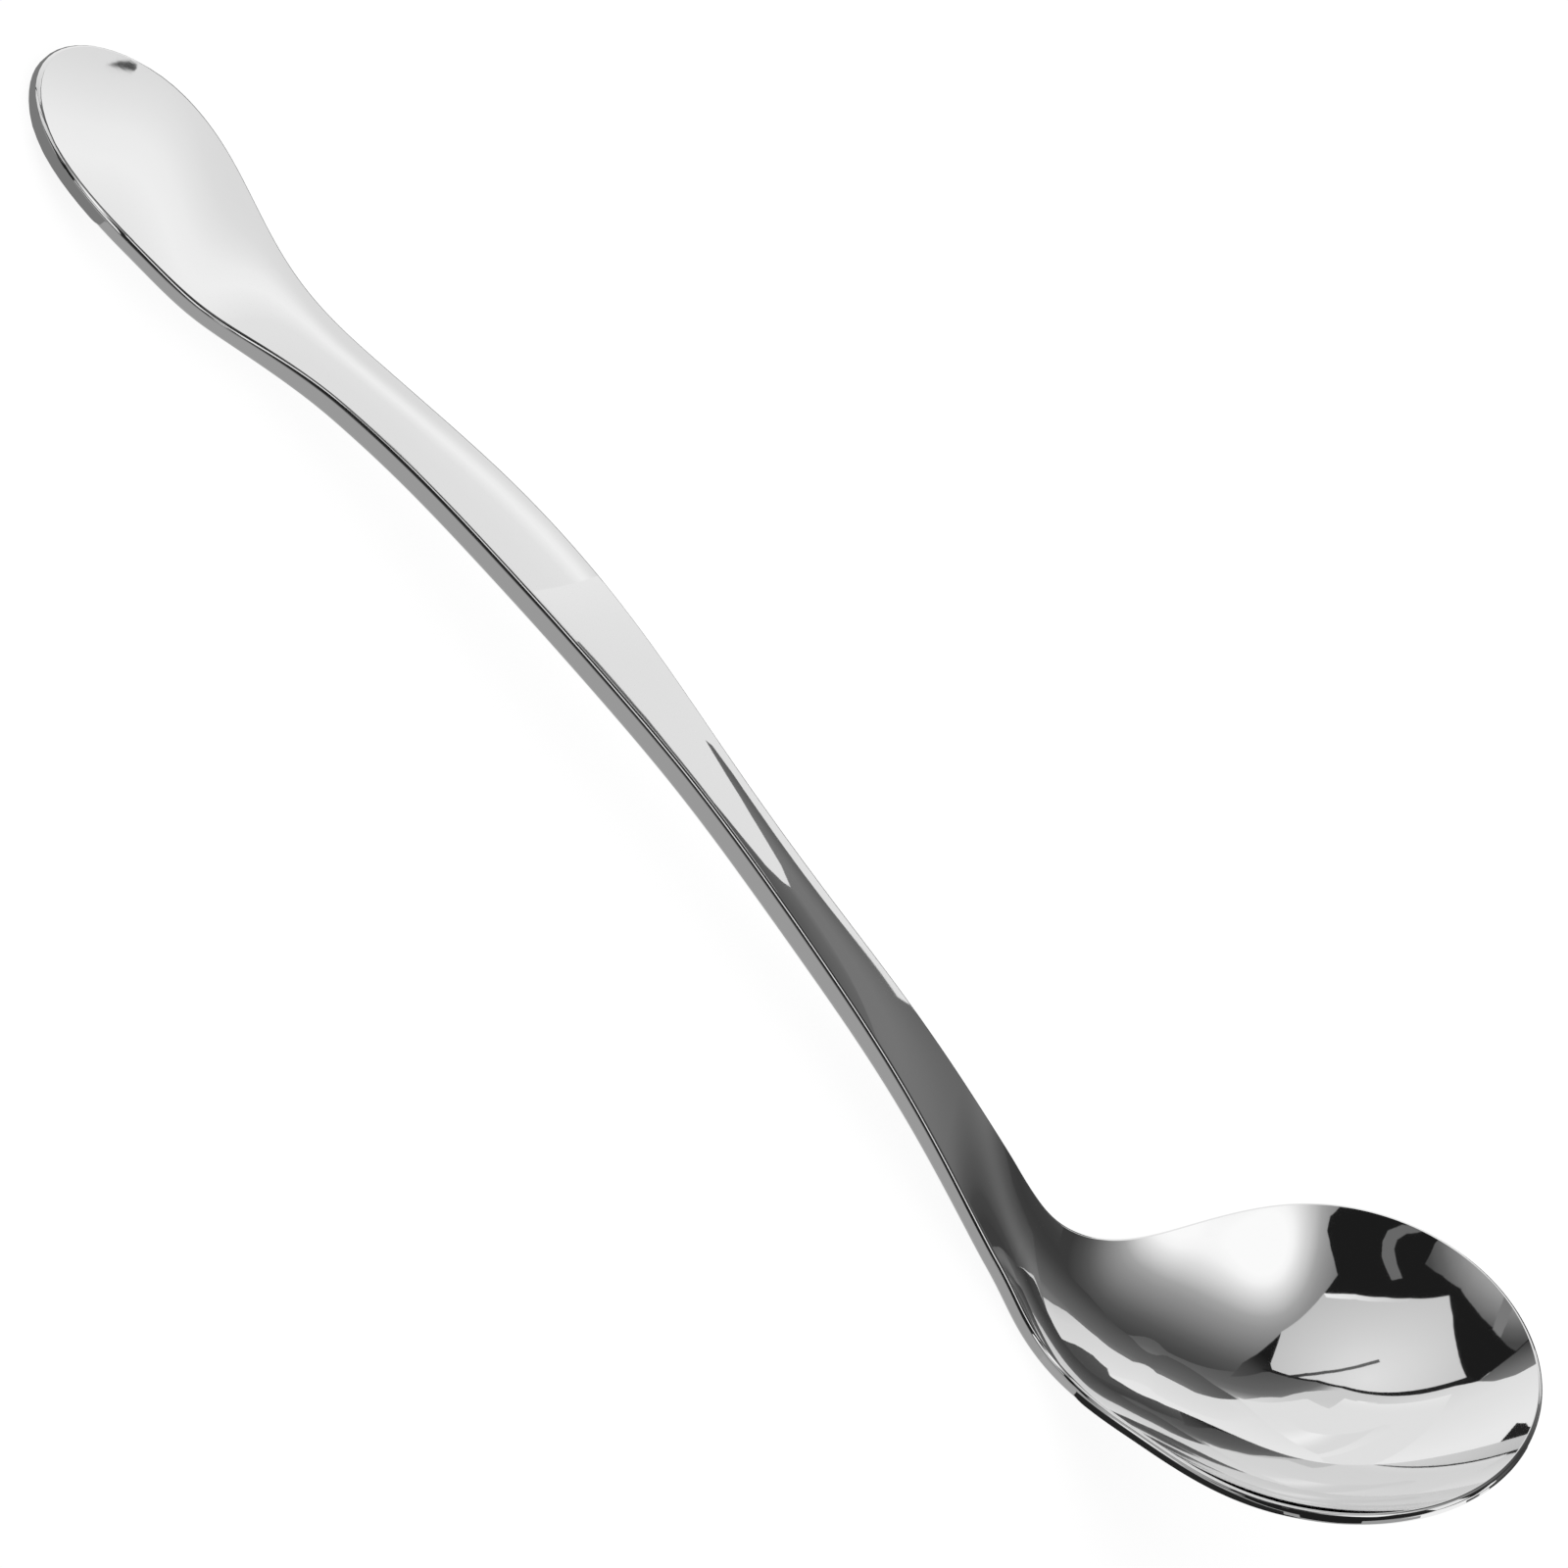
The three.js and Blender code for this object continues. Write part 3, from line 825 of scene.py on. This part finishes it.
def card_material(name, stops, start, toward, stretch):
    """Light of a card, graded by the distance from its start, in one direction or all round it.

    Stops are pairs of a distance and a light. One stop alone lights the card evenly.
    """
    material = bpy.data.materials.new(name)
    material.use_nodes = True
    nodes = material.node_tree.nodes
    links = material.node_tree.links
    nodes.remove(nodes["Principled BSDF"])
    glow = nodes.new("ShaderNodeEmission")
    links.new(glow.outputs[0], nodes["Material Output"].inputs["Surface"])
    if len(stops) == 1:
        glow.inputs["Strength"].default_value = stops[0][1]
        return material
    where = nodes.new("ShaderNodeAttribute")
    where.attribute_name = CARD_PLACE
    offset = nodes.new("ShaderNodeVectorMath")
    offset.operation = "SUBTRACT"
    offset.inputs[1].default_value = (start[0], start[1], 0.0)
    links.new(where.outputs["Vector"], offset.inputs[0])
    measure = nodes.new("ShaderNodeVectorMath")
    if toward:
        measure.operation = "DOT_PRODUCT"
        way = Vector((toward[0] - start[0], toward[1] - start[1], 0.0)).normalized()
        measure.inputs[1].default_value = way
        links.new(offset.outputs[0], measure.inputs[0])
    else:
        squeeze = nodes.new("ShaderNodeVectorMath")
        squeeze.operation = "MULTIPLY"
        squeeze.inputs[1].default_value = (1.0, stretch, 1.0)
        links.new(offset.outputs[0], squeeze.inputs[0])
        measure.operation = "LENGTH"
        links.new(squeeze.outputs[0], measure.inputs[0])
    first, last = stops[0][0], stops[-1][0]
    part = nodes.new("ShaderNodeMapRange")
    part.inputs["From Min"].default_value = first
    part.inputs["From Max"].default_value = last
    links.new(measure.outputs["Value"], part.inputs["Value"])
    ramp = nodes.new("ShaderNodeValToRGB")
    points = ramp.color_ramp.elements
    for index, (at, light) in enumerate(stops):
        position = (at - first) / (last - first)
        point = points[index] if index < 2 else points.new(position)
        point.position = position
        point.color = (light, light, light, 1.0)
    links.new(part.outputs[0], ramp.inputs[0])
    links.new(ramp.outputs["Color"], glow.inputs["Color"])
    return material


def card_outline(name, corners):
    """Adds a flat face with the given corners."""
    bpy.ops.object.select_all(action="DESELECT")
    bpy.ops.mesh.primitive_circle_add(vertices=len(corners), fill_type="NGON")
    card = bpy.context.active_object
    card.name = name
    for vertex, corner in zip(card.data.vertices, corners):
        vertex.co = (corner[0], corner[1], 0.0)
    bpy.ops.object.mode_set(mode="EDIT")
    bpy.ops.mesh.select_all(action="SELECT")
    bpy.ops.mesh.quads_convert_to_tris()
    bpy.ops.mesh.subdivide(number_cuts=CARD_CUTS)
    bpy.ops.object.mode_set(mode="OBJECT")
    return card


def hang_card(card, place, material):
    """Puts a flat card where place takes its points, and lets only mirrors see it."""
    flat = np.array([tuple(v.co) for v in card.data.vertices])
    places = card.data.attributes.new(CARD_PLACE, "FLOAT_VECTOR", "POINT")
    places.data.foreach_set("vector", flat.ravel())
    card.data.vertices.foreach_set("co", place(flat[:, :2]).ravel())
    card.data.update()
    card.data.materials.append(material)
    card.visible_camera = False
    card.visible_diffuse = False
    card.visible_transmission = False
    card.visible_volume_scatter = False
    card.visible_shadow = False


def add_card(name, corners, stops, start=(0.0, 0.0), toward=None, stretch=1.0, view=FAR_SIDE, layer=0):
    """Adds a far card. Its corners are degrees in a view of the studio, and higher layers hang in front."""
    card = card_outline(name, corners)
    material = card_material(name, stops, start, toward, stretch)
    reach = CARD_REACH - LAYER_STEP * layer
    hang_card(card, lambda flat: view.place(flat, reach), material)


def add_screen(name, corners, away, stops, start=(0.0, 0.0), toward=None):
    """Adds an upright screen close to the spoon. Its corners are millimetres along the spoon and up."""
    card = card_outline(name, corners)

    def place(flat):
        return np.stack([flat[:, 0] * MM, np.full(len(flat), away * MM), flat[:, 1] * MM], axis=1)

    hang_card(card, place, card_material(name, stops, start, toward, 1.0))


# Height of the dark floor cards that paint the spoon's shadow for mirrors.
FLOOR_SHADOW_HEIGHT = 0.5 * MM


def add_floor_shadow_card(name, corners, light):
    """Adds a dark card lying on the floor, a painted shadow of the spoon that only mirrors see. Its corners
    are millimetres along and across the spoon.
    """
    card = card_outline(name, corners)

    def place(flat):
        return np.stack([flat[:, 0] * MM, flat[:, 1] * MM, np.full(len(flat), FLOOR_SHADOW_HEIGHT)], axis=1)

    hang_card(card, place, card_material(name, ((0, light),), (0.0, 0.0), None, 1.0))


# Edges that two cards share, in degrees of the far side.
BAY_EDGE = (
    (-75, 23), (-70, 25.2), (-66, 26.1), (-58, 26.4), (-53, 25.6), (-50, 24), (-47, 21.5), (-45, 19),
    (-43, 16), (-42, 12), (-41, 9),
)
WALL_SIDE = ((29.5, 15.5), (33, 9.5), (35, 5), (37.3, -6), (37.8, -15))


def add_far_cards():
    """The far side of the studio, which the bowl and the neck mirror."""
    add_far_ceiling()
    add_left_wall()
    add_right_wall()
    add_low_cards()


def add_far_ceiling():
    """A dim ceiling with a lamp's glow, and the darker halo round the bay of the left wall."""
    add_card(
        "dim_ceiling",
        ((-100, 14), (-100, 60), (-60, 76), (0, 70), (40, 60), (55, 45), (62, 20), (50, 5), (20, 5),
         (-20, 5), (-60, 5)),
        ((9, 1.12), (12, 1.05), (15.5, 0.86), (20, 0.65), (25, 0.43), (30, 0.33), (35, 0.265), (40, 0.205),
         (45, 0.15), (50, 0.108), (56, 0.08), (66, 0.05), (90, 0.05)),
        start=(24, 37.5),
        stretch=1.6,
    )
    add_card(
        "bay_halo",
        ((-29.5, 5), (-29.5, 26), (-32, 32), (-36, 36.5), (-41, 41), (-45, 46), (-47, 52), (-44, 62),
         (-35, 75), (-100, 78), (-118, 20), (-100, -20), (-40, -20)),
        ((25, 0.21), (27, 0.19), (29, 0.15), (33, 0.122), (37, 0.098), (41, 0.072), (45, 0.054),
         (50, 0.048), (56, 0.055), (66, 0.1)),
        start=(-66, 3),
        layer=1,
    )


def add_left_wall():
    """The white wall on the left: its bay with a rounded top, and the shade over its right part."""
    add_card(
        "left_wall",
        BAY_EDGE + ((-31, 9), (-24, 12), (-12, 14), (2, -6), (2, -62), (-60, -66), (-76, -24)),
        ((10, 0.69), (15, 0.73), (20, 0.785), (26, 0.825), (31, 0.86), (36, 0.875), (42, 0.9), (52, 0.94)),
        toward=(-0.88, -0.48),
        layer=2,
    )
    add_card(
        "bay_shade",
        BAY_EDGE + ((-36, 9), (-36, 2), (-76, 2)),
        ((2, 0.87), (6, 0.83), (12, 0.79), (20, 0.755), (24, 0.7), (26.5, 0.66)),
        toward=(0, 1),
        layer=3,
    )
    add_card(
        "bay_dark",
        ((-76, 11.5), (-60, 11.8), (-57, 10.8), (-54, 8.5), (-54.2, 4), (-57.5, 1), (-57.5, -3), (-60, -8),
         (-76, -9)),
        ((-76, 0.075), (-62, 0.08), (-54, 0.1)),
        toward=(1, 0),
        layer=4,
    )
    add_card(
        "wall_shade",
        ((-31.5, 8.9), (-31.5, 13), (-29.5, 17.5), (-22, 17), (-10, 15), (-4, 8), (2, -2), (1.5, -13),
         (-1, -7), (-4, -2.5), (-8, 1.2), (-12, 3.4), (-17, 5), (-20, 6.8), (-23, 8), (-27, 8.6)),
        ((-4, 0.09), (4, 0.14), (6.5, 0.18), (8.5, 0.32), (9.5, 0.45), (11, 0.62), (13, 0.69)),
        start=(-16, 13),
        toward=(-20.4, 4),
        layer=3,
    )


def add_right_wall():
    """The white wall on the right, with its lit edge, seam and streak, and the black beside it."""
    add_card(
        "black_side",
        ((29, 15.6), (36.5, 14), (39, 18), (42.5, 24), (45.5, 25), (49, 23), (51, 19), (62, 10), (66, -10),
         (60, -30), (45, -50), (25, -62), (8, -60), (2, -49), (0, -47.5), (2, -40), (20, -20)),
        ((0, 0.013),),
        layer=4,
    )
    add_card(
        "slit",
        ((-23, 15.5), (-14, 18.5), (-10, 19.1), (0, 19.8), (8, 19.9), (-4, 12), (-8, 13), (-12, 14.5)),
        ((-22, 0.09), (-14, 0.06), (-9, 0.025), (-5, 0.012)),
        toward=(1, 0),
        layer=4,
    )
    add_card(
        "right_wall",
        ((-8, 13.5), (-6, 15.3), (8, 20), (13, 19), (22, 17))
        + WALL_SIDE
        + ((37, -27.5), (30, -32), (17, -38.5), (3.5, -44.5), (3.2, -25), (2.6, -10), (0.3, -1), (-4, 7)),
        ((0, 0.86), (14, 0.78), (26, 0.68), (36, 0.6)),
        start=(8, -16),
        layer=5,
    )
    add_card(
        "right_wall_edge",
        ((29, 14.2),) + WALL_SIDE + ((37, -15), (36, -6), (33.8, 4), (31.8, 8.6)),
        ((0, 1.0), (26, 0.7)),
        start=(30, 14),
        layer=6,
    )
    add_card(
        "wall_seam",
        ((-11, 15.5), (-6, 8.5), (-1, 0.5), (1.3, -9), (1.3, -20), (0.9, -35), (1.5, -46.5), (3.9, -45),
         (3.3, -35), (2.8, -20), (2.6, -10), (0.4, 0), (-4.8, 8.5), (-8, 14)),
        ((0, 0.018),),
        layer=7,
    )
    add_card(
        "wall_streak",
        ((-6.5, 8.5), (-6, 9.6), (0, 5.5), (5.5, 0.4), (10.5, -5.9), (14.6, -11.5), (17.1, -15.6),
         (16, -16.6), (13.5, -12.5), (9.5, -6.8), (4.5, -0.6), (-1, 4.6)),
        ((0, 0.03), (12, 0.1), (24, 0.13)),
        start=(-6, 9),
        toward=(16, -16),
        layer=7,
    )
    add_card(
        "hook",
        ((42, -5.5), (46.5, 2), (49.5, 4.2), (52, 4), (54, 0), (55, -9), (53.6, -9), (52.6, -3),
         (51, -0.6), (49, -1.1), (46.5, -4), (43, -9)),
        ((0, 0.16),),
        layer=5,
    )


def add_low_cards():
    """Grey and dark cards low on the far side, and the dim end of the room behind the handle."""
    add_card(
        "low_strip",
        ((46.5, -14.3), (51, -14.3), (54, -16), (66, -20), (62, -35), (45, -54), (25, -66), (12, -58),
         (6.5, -53.2), (10, -51), (20, -45.5), (30, -37.5), (38, -30), (43, -22)),
        ((44, 0.075), (47, 0.14), (50, 0.26), (54, 0.45)),
        toward=(1, -1),
        layer=5,
    )
    add_card(
        "low_corner",
        ((0, -47.5), (-3, -51), (-4.6, -55), (-4, -62), (10, -62), (8, -55), (6, -53.4), (3, -50)),
        ((-4, 0.22), (8, 0.05)),
        toward=(1, 0),
        layer=6,
    )
    add_card(
        "low_wedge",
        ((-48, -51), (-40, -53.3), (-31.5, -56), (-34, -57), (-48, -57.5)),
        ((0, 0.02),),
        layer=6,
    )
    add_card(
        "dim_end",
        ((-70.5, -9), (-70.5, 20), (-70, 25.4), (-69, 29), (-70, 40), (-72, 56), (-115, 50), (-115, -10)),
        ((5, 0.2), (9, 0.18), (13, 0.15), (16, 0.13), (20, 0.105), (25, 0.085), (29, 0.065), (34, 0.06),
         (40, 0.05)),
        start=(-69, 28),
        stretch=1.5,
        layer=9,
    )


# How far the upright screens stand from the spoon's middle plane, in millimetres.
HANDLE_SCREEN_AWAY = 115
SLOT_AWAY = 114
SHANK_SCREEN_AWAY = 60
RIM_FLAG_AWAY = -40


def add_handle_screens():
    """White screens behind the handle, with a small dark slot, black close to the bowl's near rim, and
    painted floor shadow under the paddle and the bowl.
    """
    add_screen(
        "handle_screen",
        ((-88, 80), (-86, 105), (-38, 105), (-34, 141), (-27, 141), (0, 133.5), (21, 125.5), (33, 121),
         (45, 117), (45, 46), (-32, 50), (-40, 68), (-60, 74)),
        HANDLE_SCREEN_AWAY,
        ((74, 0.81), (78, 0.83), (82, 0.89), (86, 0.97), (90, 1.0), (95, 0.94), (101, 0.88), (120, 0.86)),
        start=(-60, 0),
        toward=(-59, 4),
    )
    add_screen(
        "slot",
        ((-78, 84.3), (-76, 83.9), (-74, 83.5), (-72, 83), (-71, 82.3), (-72, 82), (-74, 82.3), (-76, 83)),
        SLOT_AWAY,
        ((0, 0.03),),
    )
    add_screen(
        "shank_screen",
        ((2, 20), (2, 69.8), (10, 67.5), (17, 65.3), (24, 63.6), (30, 62.5), (46, 62.3), (50, 60.3),
         (53, 57.5), (53.5, 52), (53, 48), (48.5, 43), (43, 40), (37.5, 37), (28.5, 34), (29, 31.5),
         (33, 29.8), (66, 29.6), (68, 27), (66, 20)),
        SHANK_SCREEN_AWAY,
        ((2, 0.92), (9, 0.88), (16, 0.86)),
        toward=(1, 0),
    )
    # Painted shadow: a grey card on the floor stands in for the shaded floor beside the paddle, seen in the
    # paddle's side.
    add_floor_shadow_card("paddle_floor_shadow", ((-150, -40), (-84, -40), (-84, 60), (-150, 60)), 0.22)
    # Painted shadow: a near-black card on the floor stands in for the shaded floor under the bowl, seen in
    # its near rim.
    add_floor_shadow_card(
        "rim_floor_shadow",
        ((65, -30), (65, -13), (69, -10), (75, -11), (90, -12), (97, -15), (104, -30), (100, -47),
         (68, -47)),
        0.02,
    )
    add_screen(
        "rim_flag",
        ((62, 9), (112, 9), (112, 60), (72, 60), (60, 40), (58, 20)),
        RIM_FLAG_AWAY,
        ((0, 0.015),),
    )


def add_near_cards():
    """The near side of the studio, which the spoon's sides mirror."""
    front_shade = ((2, 0.37), (12, 0.2), (20, 0.1), (28, 0.03))
    near_cards = (
        ("grey_front", ((-135, -38), (48, -38), (48, 2), (-135, 2)), ((0, 0.37),), 1),
        ("grey_below", ((-75, -38), (60, -38), (50, -70), (-60, -70)), ((0, 0.4),), 1),
        ("front_shade", ((-90, 2), (36, 2), (36, 28), (-90, 28)), front_shade, 1),
        ("front_top", ((-25, 28), (60, 28), (50, 75), (30, 85), (-25, 85)), ((0, 0.02),), 1),
        ("front_side", ((-115, -20), (-70, -20), (-70, 40), (-115, 40)), ((0, 0.015),), 2),
        ("front_lamp", ((33.6, 33.6), (47.6, 44.6), (10.4, 91.4), (-3.6, 80.4)), ((0, 0.9),), 2),
    )
    for name, corners, stops, layer in near_cards:
        add_card(name, corners, stops, toward=(0, 1), view=NEAR_SIDE, layer=layer)


class VIEW3D_PT_spoon(bpy.types.Panel):
    """Sizes, bends and stage of the spoon"""

    bl_label = "Spoon"
    bl_space_type = "VIEW_3D"
    bl_region_type = "UI"
    bl_category = "Spoon"

    def draw(self, context):
        layout = self.layout
        scene = context.scene
        for group, kind in SETTINGS:
            box = layout.box()
            for name in kind.__annotations__:
                box.prop(getattr(scene, group), name)
        for operator in OPERATORS:
            layout.operator(operator.bl_idname)


SETTINGS = (
    ("spoon_blank", SpoonBlank),
    ("spoon_bends", SpoonBends),
    ("spoon_mesh", SpoonMesh),
    ("spoon_finish", SpoonFinish),
    ("spoon_stage", SpoonStage),
)
OPERATORS = (SPOON_OT_bowl, SPOON_OT_handle, SPOON_OT_stage)


def register():
    """Registers the settings, the operators and the panel."""
    for name, group in SETTINGS:
        bpy.utils.register_class(group)
        setattr(bpy.types.Scene, name, PointerProperty(type=group))
    for operator in OPERATORS:
        bpy.utils.register_class(operator)
    bpy.utils.register_class(VIEW3D_PT_spoon)


def unregister():
    """Takes back what register added."""
    bpy.utils.unregister_class(VIEW3D_PT_spoon)
    for operator in reversed(OPERATORS):
        bpy.utils.unregister_class(operator)
    for name, group in reversed(SETTINGS):
        delattr(bpy.types.Scene, name)
        bpy.utils.unregister_class(group)


def main():
    """Makes both pieces and the stage."""
    register()
    bpy.ops.spoon.bowl()
    bpy.ops.spoon.handle()
    bpy.ops.spoon.stage()


if __name__ == "__main__":
    main()
